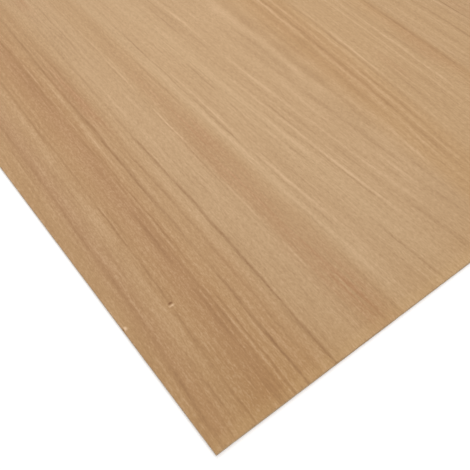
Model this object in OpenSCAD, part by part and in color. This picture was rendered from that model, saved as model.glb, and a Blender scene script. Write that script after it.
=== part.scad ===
// Three-ply plywood panel, lying flat with its show face up.
// X runs along the grain of the outer veneers, Y runs across it, and the underside is at Z = 0.
// The crossband between them is laid with its own grain along Y.

/* [Panel] */
// Length, along the grain of the outer veneers
panel_l = 1220; // [200:10:2440]
// Width, across the grain of the outer veneers
panel_w = 610; // [100:10:1220]
// Radius that handling has left on the four sawn corners
corner_r = 0.8; // [0.5:0.1:3]

/* [Plies] */
// Thickness of the show-face veneer
face_t = 0.6; // [0.4:0.1:1.5]
// Thickness of the crossband
crossband_t = 2.4; // [0.8:0.1:4]
// Thickness of the underside veneer
back_t = 0.6; // [0.4:0.1:1.5]

/* [Arris] */
// Bevel that sanding has left along the sawn edges of the show face
face_arris = 0.15; // [0.05:0.05:0.35]
// Bevel that handling has left along the sawn edges of the underside
back_arris = 0.1; // [0.05:0.05:0.35]

/* [Hidden] */

crossband_z = back_t;
face_z = crossband_z + crossband_t;
arc_steps = 48;

// Sawn outline of the panel: a rectangle whose corners are true arcs
module panel_outline() {
    square([panel_l, panel_w - 2 * corner_r], center = true);
    square([panel_l - 2 * corner_r, panel_w], center = true);
    for (x = [-1, 1], y = [-1, 1])
        translate([x * (panel_l / 2 - corner_r), y * (panel_w / 2 - corner_r)])
            circle(r = corner_r, $fn = arc_steps);
}

// One ply: the sawn outline at the ply's own thickness
module ply(thickness) {
    linear_extrude(height = thickness)
        panel_outline();
}

// Long bar with a ply's section across a span, its top corners bevelled, run along Y
module bevelled_bar(span, run, thickness, bevel) {
    rotate([90, 0, 0])
        linear_extrude(height = run, center = true)
            polygon([
                [-span / 2, 0],
                [span / 2, 0],
                [span / 2, thickness - bevel],
                [span / 2 - bevel, thickness],
                [-span / 2 + bevel, thickness],
                [-span / 2, thickness - bevel]
            ]);
}

// Ply with a bevel round its top: what the outline shares with one bar along each direction
module eased_ply(thickness, bevel) {
    intersection() {
        ply(thickness);
        bevelled_bar(panel_l, panel_w, thickness, bevel);
        rotate([0, 0, 90])
            bevelled_bar(panel_w, panel_l, thickness, bevel);
    }
}

module face_veneer() {
    color([0.76, 0.61, 0.45])
        translate([0, 0, face_z])
            eased_ply(face_t, face_arris);
}

module crossband() {
    color([0.66, 0.53, 0.40])
        translate([0, 0, crossband_z])
            ply(crossband_t);
}

// The underside veneer is eased on its lower edges, so it is the same ply turned over
module back_veneer() {
    color([0.73, 0.60, 0.46])
        translate([0, 0, back_t])
            rotate([180, 0, 0])
                eased_ply(back_t, back_arris);
}

face_veneer();
crossband();
back_veneer();
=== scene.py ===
# %% [markdown]
# # A sheet of three-ply plywood
# The sheet lies flat with its show face up. Real plywood is three sheets of wood glued together:
# a show veneer, a thicker crossband laid the other way, and a plainer veneer underneath.
# The construction model already holds the three plies at their real size, so it is loaded first
# and everything below takes its sizes from it.

# %% Load the construction model
import math
import random

import bmesh
import bpy
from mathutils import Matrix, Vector


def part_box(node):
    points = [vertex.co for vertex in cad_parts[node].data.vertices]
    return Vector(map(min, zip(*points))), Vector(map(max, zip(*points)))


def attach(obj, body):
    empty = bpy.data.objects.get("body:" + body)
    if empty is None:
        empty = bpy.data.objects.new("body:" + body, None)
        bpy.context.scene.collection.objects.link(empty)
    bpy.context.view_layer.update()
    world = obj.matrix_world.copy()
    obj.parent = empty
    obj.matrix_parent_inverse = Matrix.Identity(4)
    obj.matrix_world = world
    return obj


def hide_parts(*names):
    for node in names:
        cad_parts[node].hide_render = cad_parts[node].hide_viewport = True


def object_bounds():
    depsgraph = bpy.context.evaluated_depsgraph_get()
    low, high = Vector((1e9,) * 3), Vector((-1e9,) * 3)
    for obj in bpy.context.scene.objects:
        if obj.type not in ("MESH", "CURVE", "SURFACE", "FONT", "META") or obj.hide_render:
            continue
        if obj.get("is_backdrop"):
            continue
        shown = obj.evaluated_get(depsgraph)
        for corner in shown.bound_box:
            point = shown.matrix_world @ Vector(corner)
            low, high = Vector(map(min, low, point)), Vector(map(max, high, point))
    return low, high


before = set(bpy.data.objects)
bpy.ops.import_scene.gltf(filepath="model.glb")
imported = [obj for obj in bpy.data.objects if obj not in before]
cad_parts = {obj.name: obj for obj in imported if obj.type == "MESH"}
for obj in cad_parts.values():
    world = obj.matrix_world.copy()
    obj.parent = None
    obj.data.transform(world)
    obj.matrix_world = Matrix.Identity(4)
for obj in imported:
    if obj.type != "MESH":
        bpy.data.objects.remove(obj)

MM = 0.001
cad_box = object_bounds()
low, high = cad_box
sheet_centre = (low + high) / 2
print("sheet, mm:", [round(side / MM, 2) for side in high - low])

# %% [markdown]
# ## The camera
# The view looks down on one corner of the sheet. Two edges that are square to each other on the real
# sheet, and the lines of the grain, give the lens and the tilt. The height above the sheet follows
# from how thick the sawn edge looks, and the corner's own pixel then gives the camera's place.

# %% Camera
FRAME_PX = 470
FOCAL_PX = 624.9
SENSOR_WIDTH = 36
NEAR_CORNER_PX = (216.2, 454.3)
CAMERA_ABOVE_FACE = 0.44
TILT = math.radians(51.44)
TURN = math.radians(52.424)

right = Vector((math.cos(TURN), math.sin(TURN), 0))
forward = Vector((-math.sin(TURN), math.cos(TURN), 0))
px_right = NEAR_CORNER_PX[0] - FRAME_PX / 2
px_down = NEAR_CORNER_PX[1] - FRAME_PX / 2
ray_down = FOCAL_PX * math.sin(TILT) + px_down * math.cos(TILT)
ray_forward = FOCAL_PX * math.cos(TILT) - px_down * math.sin(TILT)
near_corner = Vector((high.x, low.y, high.z))
eye = near_corner + Vector((0, 0, CAMERA_ABOVE_FACE))
eye -= right * px_right / ray_down * CAMERA_ABOVE_FACE
eye -= forward * ray_forward / ray_down * CAMERA_ABOVE_FACE
bpy.ops.object.camera_add(location=eye, rotation=(math.pi / 2 - TILT, 0, TURN))
camera = bpy.context.object
camera.name = "camera"
camera.data.sensor_width = SENSOR_WIDTH
camera.data.lens = SENSOR_WIDTH * FOCAL_PX / FRAME_PX
camera.data.clip_start = 10 * MM
bpy.context.scene.camera = camera
print("camera at", [round(c, 3) for c in eye], "lens", round(camera.data.lens, 2))

# %% [markdown]
# ## Writing shader maths as plain expressions
# A veneer's colour depends on dozens of small sums, and each sum is a node. Wiring them by hand hides
# the idea, so a small class wraps a socket and turns Python's own operators into Math nodes.

# %% Shader arithmetic
class Wire:
    """An output socket that can be added, multiplied and so on."""

    def __init__(self, recipe, socket):
        self.recipe = recipe
        self.socket = socket

    def __add__(self, other):
        return self.recipe.maths("ADD", self, other)

    def __sub__(self, other):
        return self.recipe.maths("SUBTRACT", self, other)

    def __rsub__(self, other):
        return self.recipe.maths("SUBTRACT", other, self)

    def __mul__(self, other):
        return self.recipe.maths("MULTIPLY", self, other)

    def __truediv__(self, other):
        return self.recipe.maths("DIVIDE", self, other)

    def __rtruediv__(self, other):
        return self.recipe.maths("DIVIDE", other, self)

    def __neg__(self):
        return self.recipe.maths("MULTIPLY", self, -1)

    __radd__ = __add__
    __rmul__ = __mul__


# %% [markdown]
# ## One method for every node
# A material could be wired by hand in the shader editor, but with hundreds of nodes nobody could read
# it. So one method adds any node from its type, settings and sockets, and a few short ones name what
# this sheet needs again and again: noise, an easy slope, a round ridge, a mix of two colours. Colours
# are always mixed and never summed, because a Math node would turn them grey.

# %% Material recipes
SPECULAR = 0.3
BUMP_DEPTH = 0.1 * MM


class Recipe:
    """A material or a world, with one method that adds any node and short ones built on it."""

    def __init__(self, owner):
        self.owner = owner
        owner.use_nodes = True
        self.tree = owner.node_tree
        self.tree.nodes.clear()

    def node(self, kind, settings=None, sockets=None, output=0):
        made = self.tree.nodes.new(kind)
        for name, value in (settings or {}).items():
            if name == "stops":
                self.set_stops(made.color_ramp, value)
            else:
                setattr(made, name, value)
        for key, value in (sockets or {}).items():
            if isinstance(value, Wire):
                self.tree.links.new(value.socket, made.inputs[key])
            else:
                made.inputs[key].default_value = value
        return Wire(self, made.outputs[output]) if made.outputs else None

    def set_stops(self, ramp, stops):
        ramp.elements.remove(ramp.elements[1])
        ramp.elements[0].position = stops[0][0]
        ramp.elements[0].color = stops[0][1]
        for place, colour in stops[1:]:
            ramp.elements.new(place).color = colour

    def maths(self, operation, *values):
        return self.node("ShaderNodeMath", {"operation": operation}, dict(enumerate(values)))

    def mix(self, factor, a, b):
        """Colour a where the factor is 0, colour b where it is 1."""
        return self.node("ShaderNodeMix", {"data_type": "RGBA"}, {0: factor, 6: a, 7: b}, output=2)

    def noise(self, along, across, depth, detail=2.0, rough=0.5):
        """Noise from 0 to 1 with lumps one unit in size. Each depth is another slice of it."""
        place = self.node("ShaderNodeCombineXYZ", sockets={0: along, 1: across, 2: depth})
        return self.node("ShaderNodeTexNoise", sockets={
            "Vector": place, "Scale": 1.0, "Detail": detail, "Roughness": rough})

    def smooth(self, value, start, end):
        """0 below start, 1 above end, and an easy slope between."""
        return self.node("ShaderNodeMapRange", {"interpolation_type": "SMOOTHSTEP"}, {
            "Value": value, "From Min": start, "From Max": end})

    def ridge(self, value, centre, half_width):
        """1 at the centre, 0 from half_width away, round on top."""
        off = self.maths("MULTIPLY_ADD", value, 1 / half_width, -centre / half_width)
        left = self.maths("MAXIMUM", 1 - off * off, 0.0)
        return left * left

    def finish(self, colour, roughness, height, bump=0.2):
        """The Principled shader and the output, with a fine bump from a height."""
        normal = self.node("ShaderNodeBump", sockets={
            "Strength": bump, "Distance": BUMP_DEPTH, "Height": height})
        shader = self.node("ShaderNodeBsdfPrincipled", sockets={
            "Base Color": colour, "Roughness": roughness, "Specular IOR Level": SPECULAR,
            "Normal": normal})
        self.node("ShaderNodeOutputMaterial", sockets={"Surface": shader})
        print(self.owner.name, "has", len(self.tree.nodes), "nodes")
        return self.owner


print("bumps of wood fibre are", round(BUMP_DEPTH / MM, 2), "mm deep")

# %% [markdown]
# ## Colours as the eye sees them
# A picture stores its colours on a curve that suits the eye, and a shader counts light instead. To
# choose a tone of wood as it looks on screen, one helper turns the three screen numbers into light.

# %% Screen colours
def tone(red, green, blue):
    """A colour as it looks on screen, 0 to 255, in the linear numbers that a shader takes."""
    channels = [channel / 255 for channel in (red, green, blue)]
    linear = [c / 12.92 if c <= 0.04045 else ((c + 0.055) / 1.055) ** 2.4 for c in channels]
    return (*linear, 1.0)


print("half-bright grey on screen is", round(tone(128, 128, 128)[0], 3), "in a shader")

# %% [markdown]
# ## Where the grain runs
# Veneer is peeled or sliced from a log, so its lines are nearly straight, but they open round a
# crown where the knife met the rings flat. The lines never cross, so one number can name each of
# them: its place across the sheet at the near end. The shader works that number out for any point.
# A hyperbolic tangent turns round the crown and levels out to both sides, just as the lines do.

# %% Grain coordinates
# Lengths in millimetres: the crown's middle, how sharply the lines turn round it, how far it reaches
CROWN_AT = 326
CROWN_TIGHT = 11
CROWN_REACH = 128
# Growth for each millimetre along the sheet: the lines' spread round the crown, and the turn's width
CROWN_SLOPE = 0.105
CROWN_OPENS = 0.0965
# All lines slant by the drift, bow over a long way and wander a little
DRIFT = 0.0425
BOW = 656
WANDER = 4


def sheet_place(recipe):
    """Millimetres from the near end, from the near long edge and from the underside."""
    place = recipe.node("ShaderNodeTexCoord", output="Object")
    x, y, z = [recipe.node("ShaderNodeSeparateXYZ", sockets={0: place}, output=axis) for axis in "XYZ"]
    return (high.x - x) / MM, (y - low.y) / MM, z / MM


def grain_line(recipe, along, across):
    """The line of grain that a point is on, named by its place across the near end."""
    wander = recipe.noise(along / 40, across / 12, 3.1) - 0.5
    run = recipe.maths("SINE", along / BOW) * BOW
    from_crown = across + wander * WANDER - CROWN_AT - run * DRIFT
    turn = recipe.maths("TANH", from_crown / (run * CROWN_OPENS + CROWN_TIGHT))
    fade = recipe.maths("EXPONENT", -(from_crown * from_crown) / CROWN_REACH ** 2)
    return from_crown - turn * fade * run * CROWN_SLOPE + CROWN_AT


print("crown", CROWN_AT, "mm across, felt for", CROWN_REACH, "mm to each side")

# %% [markdown]
# ## The tones of the show veneer
# Seen from above the face is warm tan, with rosy brown bands, a darker brown band near the long
# edge and amber wood round the crown. The broad bands follow the grain from end to end, so one
# colour ramp across the lines of grain can hold them all. Each of its stops is a place and a tone.

# %% Tones of the veneer
TAN = tone(196, 160, 119)
PALE = tone(199, 164, 123)
SAND = tone(193, 156, 114)
BUFF = tone(190, 151, 108)
ROSE = tone(184, 143, 103)
BISCUIT = tone(187, 146, 102)
NUT = tone(183, 140, 98)
RUSSET = tone(178, 130, 90)
UMBER = tone(156, 115, 75)
AMBER = tone(193, 154, 109)
STRAW = tone(195, 158, 115)
DARK_LINE = tone(143, 100, 61)
BRIGHT_LINE = tone(236, 200, 160)

# The ramp's length, then millimetres across the grain and the tone there
FACE_SPAN = 640
GROUND = [
    (0, BUFF), (12, ROSE), (28, BUFF), (44, BISCUIT), (63, NUT), (76, BISCUIT), (88, BUFF), (98, BUFF),
    (112, SAND), (124, TAN), (152, TAN), (166, SAND), (191, SAND), (200, PALE), (222, TAN),
    (254, PALE), (280, TAN), (306, TAN), (324, TAN), (334, AMBER), (364, AMBER), (380, STRAW),
    (400, STRAW), (424, STRAW), (448, STRAW), (471, AMBER), (484, SAND), (500, STRAW), (540, STRAW),
    (560, SAND), (600, TAN),
]
print("ground of", len(GROUND), "tones")

# %% [markdown]
# ## The dark lines
# Over the ground lie long thin lines, the cut edges of the year rings. Noise alone would put them
# anywhere, so the lines that one can follow by eye are listed one by one, and noise only breaks them up.
# The dark ones are the dense wood that a tree adds late in the year.

# %% Dark lines
# Where a line of figure starts and stops along the sheet, its grain line at each end,
# its half width and its strength
DARK_LINES = [
    (-60, 100, 7.5, 8, 3.5, 0.32), (60, 460, 11, 9, 2.9, 0.28), (10, 90, 24, 25, 4, 0.16),
    (-60, 150, 35, 38, 2.1, 0.32), (110, 380, 39, 39, 1.7, 0.32), (330, 900, 37, 39, 2.1, 0.28),
    (-60, 70, 62, 63, 5, 0.24), (50, 135, 62, 63, 2.9, 0.36), (135, 240, 61, 63, 2.5, 0.38),
    (-60, 260, 69, 69, 2.9, 0.24), (230, 370, 70, 69, 2.3, 0.32), (390, 800, 69, 67, 2.5, 0.34),
    (-60, 140, 74.5, 75, 1.6, 0.44), (120, 270, 75, 73, 1.6, 0.44), (250, 350, 73, 72, 1.5, 0.28),
    (-60, 240, 87.5, 87.5, 2.5, 0.44), (200, 520, 86, 86, 2.5, 0.44), (480, 1000, 87, 90, 2.3, 0.44),
    (-60, 270, 101, 101, 2.3, 0.24), (240, 390, 99, 100, 2.3, 0.24), (430, 700, 100, 101, 3, 0.2),
    (-60, 250, 115, 117, 2.5, 0.48), (220, 380, 116, 115, 2.1, 0.28), (380, 760, 117, 120, 2.3, 0.24),
    (60, 180, 138, 138, 2.6, 0.1), (460, 800, 141, 141, 2.1, 0.2), (170, 460, 155, 157, 1.6, 0.2),
    (440, 700, 160, 163, 1.7, 0.26), (80, 270, 163, 163, 2, 0.18), (-60, 70, 174, 174, 3, 0.2),
    (300, 470, 175, 178, 3, 0.1), (440, 640, 181, 184, 6, 0.14), (200, 430, 191, 191, 2.6, 0.12),
    (80, 240, 210, 208, 2, 0.26), (220, 700, 207, 213, 2, 0.3), (-60, 130, 229, 229, 5, 0.1),
    (-60, 95, 244, 244, 2.2, 0.3), (205, 245, 243, 243, 2, 0.26), (240, 310, 237, 243, 2, 0.3),
    (305, 390, 243, 245, 2, 0.26), (60, 250, 269, 269, 1.7, 0.18), (210, 700, 276, 280, 2, 0.26),
    (-60, 110, 290, 290, 4, 0.2), (90, 380, 288, 288, 3, 0.16), (360, 1000, 288, 290, 3, 0.22),
    (240, 370, 300, 300, 3, 0.14), (90, 440, 320, 317, 2.3, 0.16), (150, 900, 327, 327, 2, 0.14),
    (150, 700, 338, 339, 3, 0.14), (60, 700, 349, 350, 3, 0.28), (90, 600, 361, 362, 3.2, 0.18),
    (130, 460, 373, 374, 3, 0.18), (130, 270, 393, 394, 3.2, 0.18), (140, 250, 403, 403, 3, 0.1),
    (120, 700, 418, 418, 3, 0.1), (140, 400, 432, 432, 3.2, 0.1), (150, 900, 448, 449, 3, 0.18),
    (160, 640, 474, 475, 4, 0.36), (200, 500, 510, 510, 4, 0.2), (180, 900, 531, 532, 3, 0.34),
]
print(len(DARK_LINES), "dark lines")

# %% [markdown]
# ## The pale lines
# Between the dark lines the early wood shows, and in places it is pale enough to be a line of its own.
# These lines are listed in the same way, so that one helper can draw both kinds.

# %% Pale lines
BRIGHT_LINES = [
    (30, 600, 31, 32, 5, 0.12), (240, 560, 17, 18, 6, 0.12), (80, 240, 14, 14, 2.3, 0.1),
    (-60, 320, 72.5, 71, 1.5, 0.2), (340, 520, 71, 72, 1.6, 0.24), (50, 500, 79, 79, 5, 0.1),
    (-60, 380, 108, 109, 5, 0.1), (150, 380, 92, 91, 3, 0.12), (200, 430, 126, 127, 3, 0.1),
    (110, 440, 144, 146, 3, 0.1), (75, 120, 157, 157, 2, 0.28), (130, 235, 157, 157, 2, 0.28),
    (260, 360, 157, 158, 2, 0.34), (360, 460, 159, 160, 2, 0.34), (440, 700, 161, 165, 2, 0.22),
    (40, 64, 171, 171, 2, 0.22), (30, 440, 202, 202, 4, 0.16), (30, 230, 217, 212, 2.9, 0.24),
    (225, 400, 212, 215, 2.3, 0.24), (170, 480, 258, 258, 5, 0.1), (45, 350, 272.5, 272.5, 2.6, 0.26),
    (50, 250, 297, 296, 2.6, 0.22), (210, 390, 294, 295, 2.6, 0.28), (400, 700, 296, 298, 2.6, 0.26),
    (80, 210, 314, 312, 3.2, 0.16), (190, 600, 311, 311, 3.2, 0.14), (220, 700, 325, 325, 1.8, 0.16),
    (90, 215, 331, 331, 2.1, 0.16), (50, 700, 342, 347, 2.9, 0.2), (60, 600, 355, 358, 2.9, 0.18),
    (70, 420, 366, 367, 2.6, 0.18), (80, 420, 380, 379, 3, 0.2), (240, 320, 411, 411, 3.2, 0.12),
    (120, 700, 426, 426, 3.2, 0.18), (110, 900, 439, 439, 2.6, 0.28), (150, 500, 487, 487, 3, 0.1),
    (170, 700, 499, 499, 3, 0.18), (180, 420, 524, 524, 3, 0.14),
]
print(len(BRIGHT_LINES), "pale lines")

# %% [markdown]
# ## Drawing the listed lines
# A line is a round ridge across the grain times a fade at both its ends. Where its ends lie on
# different lines of grain it slants a little from one to the other. All of them are added up to one
# mask, which costs a few nodes for each line and needs no picture.

# %% Line mask
LINE_FADE = 40


def line_mask(recipe, along, line, lines):
    """How strongly a point lies on any of the listed lines, 0 to 1."""
    total = 0.0
    for start, stop, first, last, half_width, strength in lines:
        slope = (last - first) / (stop - start)
        fade = min(LINE_FADE, (stop - start) / 3)
        reach = recipe.smooth(along, start, start + fade) - recipe.smooth(along, stop - fade, stop)
        straight = recipe.maths("MULTIPLY_ADD", along, -slope, line) if slope else line
        total = recipe.ridge(straight, first - slope * start, half_width) * reach * strength + total
    return total


print("lines fade in and out over up to", LINE_FADE, "mm")

# %% [markdown]
# ## The coloured patches
# In places the wood is rosier or browner for a hand's length or two, where the tree stored more
# colour in it. Such a patch has soft ends and soft sides. It is one hump along the sheet times one
# across the grain, and the patches of a kind are simply added up.

# %% Coloured patches
# Middle along the sheet, grain line, half length, half width, strength
ROSY_PATCHES = [
    (40, 171, 130, 26, 0.45), (160, 172, 90, 20, 0.35), (255, 172, 90, 24, 0.42),
    (370, 176, 150, 15, 0.25), (410, 95, 100, 14, 0.45), (330, 345, 190, 24, 0.2),
    (235, 402, 45, 10, 0.2), (240, 456, 50, 9, 0.3), (240, 468, 130, 12, 0.2), (60, 100, 150, 20, 0.2),
]
BROWN_PATCHES = [
    (30, 54, 170, 26, 0.12), (40, 65, 230, 10, 0.08), (250, 62, 150, 14, 0.06), (480, 64, 160, 12, 0.14),
    (20, 38, 110, 8, 0.12), (5, 44, 90, 9, 0.16), (5, 115, 90, 12, 0.14), (10, 90, 90, 14, 0.08),
    (450, 88, 200, 28, 0.12),
]


def patch_mask(recipe, along, line, patches):
    """How strongly a point lies in any of the listed patches, 0 to 1."""
    total = 0.0
    for middle, place, half_length, half_width, strength in patches:
        patch = recipe.ridge(along, middle, half_length) * recipe.ridge(line, place, half_width)
        total = patch * strength + total
    return total


print(len(ROSY_PATCHES), "rosy patches and", len(BROWN_PATCHES), "brown ones")

# %% [markdown]
# ## Finding the edges of the sheet
# Some of the finish follows the edges: the rim has yellowed and the walls are sawn. The distance to
# the nearest end and to the nearest edge is a sum of coordinates too, so it needs no painted mask.
# The two far edges are found from the sheet's own length and width.

# %% Distance from the edges
LENGTH = (high.x - low.x) / MM
WIDTH = (high.y - low.y) / MM


def nearest_edge(recipe, along, across):
    """Millimetres from the nearest end, and from the nearest edge of any kind."""
    end = recipe.maths("MINIMUM", along, LENGTH - along)
    side = recipe.maths("MINIMUM", across, WIDTH - across)
    return end, recipe.maths("MINIMUM", end, side)


def near(recipe, distance, start, stop):
    """1 closer than start, 0 farther than stop, and an easy slope between."""
    return 1 - recipe.smooth(distance, start, stop)


print("edges at", round(LENGTH, 2), "and", round(WIDTH, 2), "mm")

# %% [markdown]
# ## Sawn walls
# A saw cuts the same wood as the face shows, but the cut is rougher and paler, since its wood is new.
# Which wall shows long fibres and which their cut ends follows from how the ply lies. One noise,
# stretched along the ply's own grain in all three directions, gives both. Glue squeezed out of the
# two joints leaves a fine dark line.

# %% Sawn walls and glue lines
GLUE_LINES = [corner.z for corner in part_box("crossband")]
GLUE_WIDTH = 0.12
GLUE_STRENGTH = 0.6
GLUE = tone(128, 92, 58)
SHADE = tone(156, 108, 64)
SAW_PITCH = 1.1
# Length of a fibre along and across the sheet, for the two outer plies and for the middle one
LONG_FIBRE = (5, 0.5)
CROSS_FIBRE = (0.5, 7)
# A veneer's material turns from face to wall between these distances from the edge
WALL_BLEND = (0.06, 0.16)


def sawn_wall(recipe, colour, along, across, height, fibre_length):
    """The colour of a sawn wall: fibres and saw marks in shade, and the two glue lines."""
    fibre = recipe.noise(along / fibre_length[0], across / fibre_length[1], height / 0.25, detail=3)
    saw = recipe.noise(along / SAW_PITCH, across / SAW_PITCH, height / 6)
    lift = recipe.noise(along / 35, across / 35, height / 2)
    colour = recipe.mix((fibre - 0.4) * 1.6 + (saw - 0.5) * 0.8 + (lift - 0.5) * 0.5, colour, SHADE)
    for glue in GLUE_LINES:
        colour = recipe.mix(recipe.ridge(height, glue / MM, GLUE_WIDTH) * GLUE_STRENGTH, colour, GLUE)
    return colour


print("glue lines, mm above the underside:", [round(glue / MM, 2) for glue in GLUE_LINES])

# %% [markdown]
# ## The marks on the show face
# A short dent and a chip in the rim catch the light: one side of each is dark and the other pale.
# The shape is modelled further on, but at this size it barely shows that light, so each mark also
# gets a pale oval of painted light and a dark oval of painted shade. The pale ovals are partly real
# wood too: a scuff in the dent and torn pale fibre in the chip.

# %% Dent and chip colours
# Millimetres from the near end and from the near long edge
DENT_PLACE = (122.3, 44.3)
CHIP_PLACE = (125.8, 2.3)


def mark(recipe, along, across, centre, half_length, half_width):
    """A small soft oval, 1 in its middle, with its size along and across the sheet."""
    return recipe.ridge(along, centre[0], half_length) * recipe.ridge(across, centre[1], half_width)


def face_marks(recipe, along, across):
    """How much paler (above 0) or darker (below 0) the two marks make the face: painted light and painted
    shade, with scuffed and torn pale wood in the pale ovals.
    """
    # Painted light on the dent's lit wall, partly pale scuffed wood, and painted shade on its shaded wall
    scuff_and_painted_light = mark(recipe, along, across, (DENT_PLACE[0] - 1.1, DENT_PLACE[1] - 0.3), 1.7, 3.6)
    painted_shade_lip = mark(recipe, along, across, (DENT_PLACE[0] + 1.6, DENT_PLACE[1]), 1.5, 3.2)
    # The chip's torn pale wood, partly painted light, and painted shade at its rim
    torn = mark(recipe, along, across, CHIP_PLACE, 3, 2.3)
    shaded = mark(recipe, along, across, (CHIP_PLACE[0], 0), 2.2, 1.3)
    return scuff_and_painted_light - painted_shade_lip + torn - shaded


print("dent at", DENT_PLACE, "and chip at", CHIP_PLACE)

# %% [markdown]
# ## The show veneer's colour
# The ground tones come first, then the rosy and the brown patches, broken up by streaks. Light and
# hands have left ochre on the rim, and the ends have dried paler. The near corner is mixed darker and
# more ochre too, as painted shade where the light falls off towards it. Each of these is one Mix node
# whose factor is a mask, so each can be made stronger or weaker without the others.

# %% Show veneer tints
# Ochre for the yellowed rim, and also the colour of the painted shade on the near corner
OCHRE_AND_PAINTED_SHADE = tone(184, 134, 66)
RIM = tone(216, 178, 122)
# How strongly the near corner is mixed to ochre, as painted shade
CORNER_PAINTED_SHADE = 0.16
RIM_OCHRE = 0.08
RIM_PALE = 0.2
CLOUDS = 0.5
# How far the streaks break up the patches
BREAK_UP = 5


def tint_face(recipe, along, across, line, streak, unseen):
    """The wood's colour before its fine figure, with rosy clouds where the sheet is out of sight and
    painted shade on the near corner.
    """
    end, edge = nearest_edge(recipe, along, across)
    stops = [(place / FACE_SPAN, colour) for place, colour in GROUND]
    ground = recipe.node("ShaderNodeValToRGB", {"stops": stops}, {0: line / FACE_SPAN})
    cloud = recipe.smooth(recipe.noise(along / 170, line / 20, 6.1), 0.5, 0.7) * unseen * CLOUDS
    rosy = patch_mask(recipe, along, line, ROSY_PATCHES) + cloud
    brown = patch_mask(recipe, along, line, BROWN_PATCHES)
    colour = recipe.mix(rosy * (1 + streak * BREAK_UP), ground, RUSSET)
    colour = recipe.mix(brown * (1 - streak * BREAK_UP), colour, UMBER)
    # Painted shade: the near corner turns darker and more ochre, where the light falls off
    corner = near(recipe, along, 40, 260) * near(recipe, line, 80, 190)
    rim = near(recipe, end, 10, 90) * RIM_OCHRE + near(recipe, edge, 2, 40) * RIM_OCHRE
    colour = recipe.mix(corner * CORNER_PAINTED_SHADE + rim, colour, OCHRE_AND_PAINTED_SHADE)
    return recipe.mix(near(recipe, end, 2, 14) * RIM_PALE, colour, RIM)


# The corner's ochre printed here is painted shade
print("ochre on the corner", CORNER_PAINTED_SHADE, "and on the rim", RIM_OCHRE)

# %% [markdown]
# ## The show veneer's fine figure
# All the fine figure is summed into one number: the listed lines, streaks, hairlines, short fibres
# and speckle. Where it is above 0 the wood turns paler, and where it is below 0 it turns darker. One
# sum was chosen over many layers of paint, because a pale line then softens a dark one where the two
# overlap. Past what one sees from the near corner, noise alone goes on drawing lines.

# %% Show veneer material
SEEN_LENGTH = 610
SEEN_WIDTH = 560
LENGTH_BLEND = 60
WIDTH_BLEND = 15
# How much each layer of the figure counts
STRAYS_SEEN = 0.15
STRAYS_UNSEEN = 0.3
STREAKS = 0.5
HAIRLINES = 0.3
FIBRES = 0.85
SPECKLES = 0.5
NEW_WOOD = tone(230, 194, 148)
FACE_ROUGHNESS = 0.6


def out_of_sight(recipe, along, across):
    """0 on the near part of the face, 1 on the part that lies beyond the picture."""
    far = recipe.smooth(along, SEEN_LENGTH - LENGTH_BLEND, SEEN_LENGTH + LENGTH_BLEND)
    aside = recipe.smooth(across, SEEN_WIDTH - WIDTH_BLEND, SEEN_WIDTH + WIDTH_BLEND)
    return recipe.maths("MAXIMUM", far, aside)


def make_face_material():
    recipe = Recipe(bpy.data.materials.new("show_veneer"))
    along, across, height = sheet_place(recipe)
    line = grain_line(recipe, along, across)
    unseen = out_of_sight(recipe, along, across)
    streak = recipe.noise(along / 80, line / 3, 1.3) - 0.5
    colour = tint_face(recipe, along, across, line, streak, unseen)

    lively = recipe.smooth(recipe.noise(along / 40, line / 3, 7.7, detail=3, rough=0.6), 0.3, 0.6)
    stray = recipe.noise(along / 150, line / 3, 8.3, detail=3, rough=0.6)
    strays = unseen * STRAYS_UNSEEN + STRAYS_SEEN
    dark = line_mask(recipe, along, line, DARK_LINES) + recipe.smooth(stray, 0.55, 0.75) * strays
    pale = line_mask(recipe, along, line, BRIGHT_LINES) + recipe.smooth(stray, 0.45, 0.25) * strays
    hairline = recipe.noise(along / 35, line / 2, 5.9, detail=3) - 0.5
    straight = across - along * DRIFT
    fibre = recipe.noise(along / 5, straight / 1.5, 9.2, rough=0.65) - 0.5
    speckle = recipe.noise(along / 2, straight / 1.2, 2.2, detail=1) - 0.5
    bold = recipe.smooth(recipe.noise(along / 70, line / 18, 3.6), 0.3, 0.7) * 0.7 + 0.65
    figure = (pale - dark) * (lively * 0.5 + 0.5) + streak * STREAKS + hairline * HAIRLINES
    figure = figure * bold + fibre * FIBRES + speckle * SPECKLES + face_marks(recipe, along, across)
    colour = recipe.mix(-figure, colour, DARK_LINE)
    colour = recipe.mix(figure, colour, BRIGHT_LINE)

    edge = nearest_edge(recipe, along, across)[1]
    wall = sawn_wall(recipe, recipe.mix(0.5, colour, NEW_WOOD), along, across, height, LONG_FIBRE)
    colour = recipe.mix(near(recipe, edge, *WALL_BLEND), colour, wall)
    return recipe.finish(colour, FACE_ROUGHNESS - hairline * 0.1, height=fibre + hairline)


face_material = make_face_material()

# %% [markdown]
# ## The crossband
# The middle ply shows only at the edges. It is a pale, fast-grown wood laid across the sheet, so the
# two ends of the sheet show its long fibres and the two long edges show its cut ends.

# %% Crossband material
CORE_PALE = tone(234, 200, 156)
CORE_DARK = tone(216, 176, 130)
CORE_ROUGHNESS = 0.8
CORE_BUMP = 0.4


def make_core_material():
    recipe = Recipe(bpy.data.materials.new("core_wood"))
    along, across, height = sheet_place(recipe)
    rings = recipe.noise(along / 11, across / 90, height / 1.5, detail=3)
    core = recipe.mix(recipe.smooth(rings, 0.35, 0.65), CORE_PALE, CORE_DARK)
    colour = sawn_wall(recipe, core, along, across, height, CROSS_FIBRE)
    torn = recipe.noise(along / 0.5, across / 7, height / 0.3, detail=3)
    return recipe.finish(colour, CORE_ROUGHNESS, height=torn, bump=CORE_BUMP)


crossband_material = make_core_material()

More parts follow.
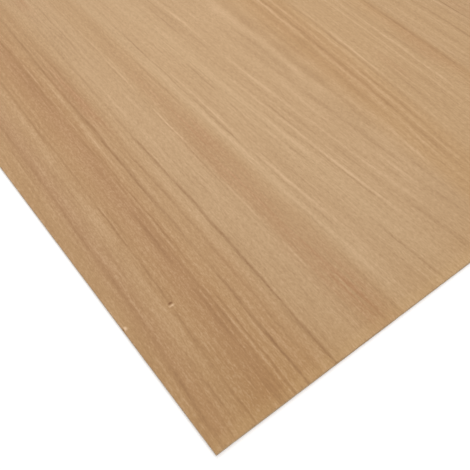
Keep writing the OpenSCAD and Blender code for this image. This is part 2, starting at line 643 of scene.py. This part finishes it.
# %% [markdown]
# ## The back veneer
# The underside is the plainer face: straight-grained, a little greyer and drier, with short open
# pores. A few wide stripes and many fine hairlines are enough, both from stretched noise.

# %% Back veneer material
BACK_PALE = tone(201, 168, 133)
BACK_DARK = tone(176, 138, 101)
PORE = tone(122, 90, 60)
PORE_STRENGTH = 0.5
BACK_ROUGHNESS = 0.75


def make_back_material():
    recipe = Recipe(bpy.data.materials.new("underside_veneer"))
    along, across, height = sheet_place(recipe)
    sway = recipe.noise(along / 400, across / 60, 4.4) - 0.5
    line = across + sway * 25
    stripe = recipe.noise(along / 900, line / 22, 2.9, detail=3, rough=0.6)
    hairline = recipe.noise(along / 70, line / 1.6, 7.1, detail=3)
    pore = recipe.noise(along / 5, line / 0.5, 3.7, detail=1)
    colour = recipe.mix(recipe.smooth(stripe, 0.35, 0.65) * 0.6 + hairline * 0.4, BACK_PALE, BACK_DARK)
    colour = recipe.mix(recipe.smooth(pore, 0.64, 0.74) * PORE_STRENGTH, colour, PORE)

    edge = nearest_edge(recipe, along, across)[1]
    wall = sawn_wall(recipe, colour, along, across, height, LONG_FIBRE)
    colour = recipe.mix(near(recipe, edge, *WALL_BLEND), colour, wall)
    return recipe.finish(colour, BACK_ROUGHNESS, height=hairline - pore)


back_material = make_back_material()

# %% [markdown]
# ## Picking what an operator works on
# Each ply is shaped in edit mode, as by hand. An operator works on all that is selected, so one
# helper clears the selection and then selects by a test, such as a face's tilt or a point's height.

# %% Selecting by a test
TOLERANCE = 0.01 * MM
# A face lies level, or an edge stands upright, when its slope's cosine is above this
STRAIGHT = 0.9


def pick(piece, kind, wanted):
    """Select only the vertices, edges or faces that pass the test, and say how many there are."""
    bpy.ops.mesh.select_all(action="DESELECT")
    bpy.ops.mesh.select_mode(type=kind)
    mesh = bmesh.from_edit_mesh(piece.data)
    items = {"VERT": mesh.verts, "EDGE": mesh.edges, "FACE": mesh.faces}[kind]
    chosen = [item for item in items if wanted(item)]
    for item in chosen:
        item.select_set(True)
    mesh.select_flush_mode()
    bmesh.update_edit_mesh(piece.data)
    return len(chosen)


def upright(edge):
    """True for an edge that runs straight up."""
    return abs(edge.verts[0].co.z - edge.verts[1].co.z) > STRAIGHT * edge.calc_length()


def open_edge(edge, height):
    """True for an edge of an open hole at a height."""
    return edge.is_boundary and abs(edge.verts[0].co.z - height) < TOLERANCE


print("points within", TOLERANCE / MM, "mm of a height count as on it")

# %% [markdown]
# ## The blank of a ply
# A ply is a thin box. Its upright corners are rounded with a bevel, the two big faces are opened,
# and the walls are cut into rows and short cells, so that the saw can leave its mark on them later.
# Cutting long edges in half until none is longer than a cell gives even cells on every side.

# %% Ply blank
CORNER_RADIUS = 0.8 * MM
CORNER_STEPS = 6
CELL = 2.5 * MM


def cut_blank(name, bottom, top, rows):
    """An open band of wall round the sheet between two heights, in edit mode."""
    bpy.ops.object.select_all(action="DESELECT")
    bpy.ops.mesh.primitive_cube_add(size=1, location=(sheet_centre.x, sheet_centre.y, (bottom + top) / 2))
    ply = bpy.context.object
    ply.name = name
    ply.data.name = name
    ply.scale = (high.x - low.x, high.y - low.y, top - bottom)
    bpy.ops.object.transform_apply(location=True, rotation=True, scale=True)
    bpy.ops.object.mode_set(mode="EDIT")
    pick(ply, "EDGE", upright)
    bpy.ops.mesh.bevel(offset=CORNER_RADIUS, segments=CORNER_STEPS, affect="EDGES")
    pick(ply, "FACE", lambda face: abs(face.normal.z) > STRAIGHT)
    bpy.ops.mesh.delete(type="ONLY_FACE")
    pick(ply, "EDGE", upright)
    bpy.ops.mesh.subdivide(number_cuts=rows - 1)
    while pick(ply, "EDGE", lambda edge: not upright(edge) and edge.calc_length() > CELL):
        bpy.ops.mesh.subdivide(number_cuts=1)
    return ply


print("corners of", round(CORNER_RADIUS / MM, 2), "mm, wall cells up to", round(CELL / MM, 2), "mm long")

# %% [markdown]
# ## Closing the big faces
# A face that is glued to the next ply is one flat face. A face that shows has a sanded arris, which
# is an inset that also lifts the face. Two narrow rings follow, in which the saw can lift a splinter,
# and an even grid with a fill round it carries the middle, so that no triangle runs across the sheet.

# %% Glued and eased faces
RING_STEPS = (0.25 * MM, 0.3 * MM)
GRID_CELL = 40 * MM
GRID_MARGIN = 20 * MM


def close_glued(ply, height):
    """Close the band at a height with one flat face, and leave that face selected."""
    pick(ply, "EDGE", lambda edge: open_edge(edge, height))
    bpy.ops.mesh.edge_face_add()
    bpy.ops.mesh.select_mode(type="FACE")


def close_eased(ply, height, arris, face_height):
    """Close the band with an eased face whose flat middle lies at face_height."""
    close_glued(ply, height)
    bpy.ops.mesh.inset(thickness=arris, depth=arris)
    for step in RING_STEPS:
        bpy.ops.mesh.inset(thickness=step)
    bpy.ops.mesh.delete(type="ONLY_FACE")
    grid = Vector((high.x - low.x - 2 * GRID_MARGIN, high.y - low.y - 2 * GRID_MARGIN, 1))
    middle = (sheet_centre.x, sheet_centre.y, face_height)
    bpy.ops.mesh.primitive_grid_add(size=1, location=middle, x_subdivisions=round(grid.x / GRID_CELL),
                                    y_subdivisions=round(grid.y / GRID_CELL))
    bpy.ops.transform.resize(value=grid, center_override=middle)
    pick(ply, "EDGE", lambda edge: open_edge(edge, face_height))
    bpy.ops.mesh.fill(use_beauty=True)


print("rings of", [round(step / MM, 2) for step in RING_STEPS], "mm inside each arris")

# %% [markdown]
# ## Splinters
# A saw never leaves a veneer's edge quite straight. It lifts small splinters, most of them on the two
# ends, where it cuts across the grain. Each could be modelled by hand, but there are hundreds. So each
# is a small pull inwards on the points round a place that seeded dice choose: they look random, and
# come out the same every time.

# %% Splinters
END_SHARE = 0.7
SPLINTER_HEIGHT = 0.35 * MM
CORNER_CLEAR = 4 * MM
# The least and the greatest reach of a splinter, and its least size as a share of the largest
SPLINTER_REACH = (1.3 * MM, 2.2 * MM)
SMALLEST = 0.2
# Shares of a pull: down into the ply, sideways on an end, and inwards on a long edge
SINK = 0.3
SLANT = 0.3
EDGE_PULL = 0.5


def pull_rim(ply, place, pull, reach):
    """Move the rim's points within reach of a place, but not those at the glued side."""
    pick(ply, "VERT", lambda vertex: (vertex.co - place).length < reach
         and abs(vertex.co.z - place.z) < SPLINTER_HEIGHT)
    bpy.ops.transform.translate(value=pull)


def lift_splinters(ply, face_height, count, largest, seed):
    """Pull the rim of a veneer inwards at seeded places along all four edges."""
    dice = random.Random(seed)
    into = math.copysign(SINK, sheet_centre.z - face_height)
    half = (high - low) / 2
    for _ in range(count):
        side = dice.choice((-1, 1))
        if dice.random() < END_SHARE:
            offset = Vector((side * half.x, dice.uniform(-1, 1) * (half.y - CORNER_CLEAR), 0))
            pull = Vector((-side, dice.uniform(-SLANT, SLANT), into))
        else:
            offset = Vector((dice.uniform(-1, 1) * (half.x - CORNER_CLEAR), side * half.y, 0))
            pull = Vector((dice.uniform(-1, 1), -side * EDGE_PULL, into))
        place = Vector((sheet_centre.x, sheet_centre.y, face_height)) + offset
        pull *= dice.uniform(SMALLEST, 1) * largest
        pull_rim(ply, place, pull, dice.uniform(*SPLINTER_REACH))
    print(ply.name, "has", count, "splinters")


print("share of splinters on the two ends:", END_SHARE)

# %% [markdown]
# ## Saw marks
# The saw also leaves the walls finely rough. A displace modifier with a cloud texture does that in one
# go. It only cuts inwards, so the sheet keeps its size, and it leaves alone the points on the glue
# lines, where two plies have to meet.

# %% Saw marks
def on_wall(vertex):
    """True for a point of a sawn wall that isn't on a glue line."""
    glued = any(abs(vertex.co.z - height) < TOLERANCE for height in GLUE_LINES)
    return not glued and any(abs(face.normal.z) < STRAIGHT for face in vertex.link_faces)


def roughen_walls(ply, depth, lump):
    """Cut the sawn walls inwards by up to a depth, in lumps of a size, and leave edit mode."""
    pick(ply, "VERT", on_wall)
    bpy.ops.object.vertex_group_add()
    bpy.ops.object.vertex_group_assign()
    bpy.ops.object.mode_set(mode="OBJECT")
    bpy.ops.object.modifier_add(type="DISPLACE")
    saw = ply.modifiers[-1]
    saw.texture = bpy.data.textures.new("saw_marks", "CLOUDS")
    saw.texture.noise_scale = lump
    saw.vertex_group = ply.vertex_groups[-1].name
    saw.mid_level = 1
    saw.strength = depth
    bpy.ops.object.modifier_apply(modifier=saw.name)
    print(ply.name, "walls cut up to", round(depth / MM, 2), "mm deep")


# %% [markdown]
# ## Giving a ply to the frame
# A finished ply is smoothed, gets its material and then stands in for the plain solid of the
# construction model, which is hidden. Doubles are merged first, since two points in one place would
# leave a crack, and only then are the faces turned outwards.

# %% Handing over a ply
SMOOTH_ANGLE = math.radians(30)


def hand_over(ply, node, material):
    """Merge doubles, point the faces outwards and give the ply to the frame."""
    bpy.ops.object.mode_set(mode="EDIT")
    bpy.ops.mesh.select_all(action="SELECT")
    bpy.ops.mesh.remove_doubles(threshold=TOLERANCE / 10)
    bpy.ops.mesh.normals_make_consistent(inside=False)
    bpy.ops.object.mode_set(mode="OBJECT")
    bpy.ops.object.shade_smooth_by_angle(angle=SMOOTH_ANGLE)
    ply.data.materials.append(material)
    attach(ply, "root")
    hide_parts(node)
    print(ply.name, "has", sum(len(face.vertices) - 2 for face in ply.data.polygons), "triangles")


print("edges that turn more than", round(math.degrees(SMOOTH_ANGLE)), "degrees stay crisp")

# %% [markdown]
# ## The dent and the chip
# Two small marks show on the face: a short crescent dent as from a fingernail, and a chip on the long
# edge. The grid face under the dent is inset, moved on to it and cut fine, and then the points along
# the crescent are pushed down with a soft falloff. The chip is a deeper pull on the rim.

# %% Dent and chip
DENT = Vector((high.x - DENT_PLACE[0] * MM, low.y + DENT_PLACE[1] * MM))
DENT_LENGTH = 4.6 * MM
DENT_DEPTH = 0.16 * MM
DENT_FIELD = 12 * MM
DENT_CUTS = 29
# The crescent's bend and its half width, as shares of its length, and the reach of its soft edge
DENT_BEND = 0.6
DENT_HALF_WIDTH = 0.09
DENT_SOFTNESS = 1.1 * MM
CHIP = Vector((high.x - CHIP_PLACE[0] * MM, low.y))
CHIP_REACH = 1.7 * MM
CHIP_PULL = Vector((0, 0.35 * MM, -0.2 * MM))


def press_dent(ply, face_height):
    """Cut a fine field into the grid round the dent, and push a crescent of it down."""
    def holds_dent(face):
        off = face.calc_center_median() - DENT.to_3d()
        level_square = face.normal.z > STRAIGHT and len(face.verts) == 4
        return level_square and max(abs(off.x), abs(off.y)) < GRID_CELL / 2

    pick(ply, "FACE", holds_dent)
    mesh = bmesh.from_edit_mesh(ply.data)
    face = next(face for face in mesh.faces if face.select)
    centre = face.calc_center_median()
    side = min(edge.calc_length() for edge in face.edges)
    bpy.ops.mesh.inset(thickness=(side - DENT_FIELD) / 2)
    bpy.ops.transform.translate(value=(DENT.x - centre.x, DENT.y - centre.y, 0))
    bpy.ops.mesh.subdivide(number_cuts=DENT_CUTS)

    def on_crescent(vertex):
        off = (vertex.co.xy - DENT) / DENT_LENGTH
        level = vertex.co.z > face_height - TOLERANCE
        return level and abs(off.y) < 0.5 and abs(off.x + off.y * off.y * DENT_BEND) < DENT_HALF_WIDTH

    print("dent points:", pick(ply, "VERT", on_crescent))
    bpy.ops.transform.translate(value=(0, 0, -DENT_DEPTH), use_proportional_edit=True,
                                proportional_edit_falloff="SMOOTH", proportional_size=DENT_SOFTNESS)


print("dent", round(DENT_LENGTH / MM, 2), "mm long and", round(DENT_DEPTH / MM, 2), "mm deep")

# %% [markdown]
# ## The show veneer
# The top ply is the one that is looked at. It could be a plain slab with a picture on it, but its rim
# is what tells wood from paper. So it is cut as a blank, its show side is eased and its glued side
# closed flat, then it gets the dent, the chip, small splinters and a sawn wall.

# %% Show veneer
FACE_ARRIS = 0.15 * MM

veneer_low, veneer_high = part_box("face_veneer")
show_veneer = cut_blank("show_veneer_ply", veneer_low.z, veneer_high.z - FACE_ARRIS, rows=3)
close_eased(show_veneer, veneer_high.z - FACE_ARRIS, FACE_ARRIS, veneer_high.z)
close_glued(show_veneer, veneer_low.z)
press_dent(show_veneer, veneer_high.z)
pull_rim(show_veneer, Vector((*CHIP, veneer_high.z)), CHIP_PULL, CHIP_REACH)
lift_splinters(show_veneer, veneer_high.z, count=90, largest=0.3 * MM, seed=11)
roughen_walls(show_veneer, depth=0.06 * MM, lump=0.9 * MM)
hand_over(show_veneer, "face_veneer", face_material)

# %% [markdown]
# ## The crossband
# The thick middle ply has no face that shows, so both its sides are flat and glued. Its walls are
# rougher than the veneers', because the core is a softer, coarser wood.

# %% Crossband
core_low, core_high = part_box("crossband")
crossband = cut_blank("crossband_ply", core_low.z, core_high.z, rows=8)
close_glued(crossband, core_low.z)
close_glued(crossband, core_high.z)
roughen_walls(crossband, depth=0.14 * MM, lump=0.7 * MM)
hand_over(crossband, "crossband", crossband_material)

# %% [markdown]
# ## The back veneer
# It is made as the show veneer is, the other way up. The saw comes out on this side, so it lifts more
# and larger splinters, and the sander takes less off the arris.

# %% Back veneer
BACK_ARRIS = 0.1 * MM

back_low, back_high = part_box("back_veneer")
back_veneer = cut_blank("back_veneer_ply", back_low.z + BACK_ARRIS, back_high.z, rows=3)
close_eased(back_veneer, back_low.z + BACK_ARRIS, BACK_ARRIS, back_low.z)
close_glued(back_veneer, back_high.z)
lift_splinters(back_veneer, back_low.z, count=150, largest=0.4 * MM, seed=23)
roughen_walls(back_veneer, depth=0.08 * MM, lump=0.9 * MM)
hand_over(back_veneer, "back_veneer", back_material)

# %% [markdown]
# ## The floor
# The sheet lies on a plain white floor. A matt floor alone turns grey away from the light, so a faint
# glow is added to it. Only the camera and mirror-like rays see that glow, so it throws no light on
# the sheet, and the soft shadow along the sawn edge stays.

# %% Floor
FLOOR_GLOW = 0.37
FLOOR_GAP = 0.2 * MM
FLOOR_SIZE = 40
FLOOR_COLOUR = (0.85, 0.85, 0.85, 1)
WHITE = (1, 1, 1, 1)


def seen_directly(recipe):
    """1 for rays that the eye sees the floor or the sky by, 0 for those that only carry light."""
    path = "ShaderNodeLightPath"
    seen = recipe.node(path, output="Is Camera Ray") + recipe.node(path, output="Is Glossy Ray")
    return seen + recipe.node(path, output="Is Transmission Ray")


def make_floor_material():
    recipe = Recipe(bpy.data.materials.new("floor"))
    glow = recipe.node("ShaderNodeEmission", sockets={
        "Color": WHITE, "Strength": seen_directly(recipe) * FLOOR_GLOW})
    matt = recipe.node("ShaderNodeBsdfDiffuse", sockets={"Color": FLOOR_COLOUR})
    both = recipe.node("ShaderNodeAddShader", sockets={0: glow, 1: matt})
    recipe.node("ShaderNodeOutputMaterial", sockets={"Surface": both})
    return recipe.owner


bpy.ops.object.select_all(action="DESELECT")
bpy.ops.mesh.primitive_plane_add(size=FLOOR_SIZE, location=(0, 0, low.z - FLOOR_GAP))
floor = bpy.context.object
floor.name = "floor"
floor.data.materials.append(make_floor_material())
floor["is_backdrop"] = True
print("floor", round(FLOOR_GAP / MM, 2), "mm under the sheet, glow", FLOOR_GLOW)

# %% [markdown]
# ## The light
# The sheet shows almost no shine and no hard shadow, so it was lit softly from above. A white room
# gives even light from all sides, and one wide softbox over the sheet, a little nearer to the near
# end, makes that end slightly lighter. The colours are shown as they are, with no film look.

# %% World and softbox
ROOM_LIGHT = 0.5
SOFTBOX_PLACE = (0.15, 0, 1.0)
SOFTBOX_SIZE = (1.1, 0.5)
SOFTBOX_POWER = 5.87


def make_room():
    """A white room: plain white to the eye, and softer as a light."""
    recipe = Recipe(bpy.data.worlds.new("white_room"))
    strength = seen_directly(recipe) * (1 - ROOM_LIGHT) + ROOM_LIGHT
    glow = recipe.node("ShaderNodeBackground", sockets={"Color": WHITE, "Strength": strength})
    recipe.node("ShaderNodeOutputWorld", sockets={"Surface": glow})
    return recipe.owner


bpy.context.scene.world = make_room()
bpy.ops.object.light_add(type="AREA", location=SOFTBOX_PLACE)
softbox = bpy.context.object
softbox.name = "softbox"
softbox.data.shape = "RECTANGLE"
softbox.data.size, softbox.data.size_y = SOFTBOX_SIZE
softbox.data.energy = SOFTBOX_POWER
bpy.context.scene.view_settings.view_transform = "Standard"
print("softbox of", SOFTBOX_POWER, "W, room at", ROOM_LIGHT)

# %% [markdown]
# ## Checking the size
# The looks must not have changed the size, so the box round all the new pieces is measured again
# and set against the construction model's box. The two should agree to a hair.

# %% Sizes
visual_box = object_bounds()
misfit = max((now - before).length for now, before in zip(visual_box, cad_box))
print("the two boxes differ by", round(misfit / MM, 4), "mm")
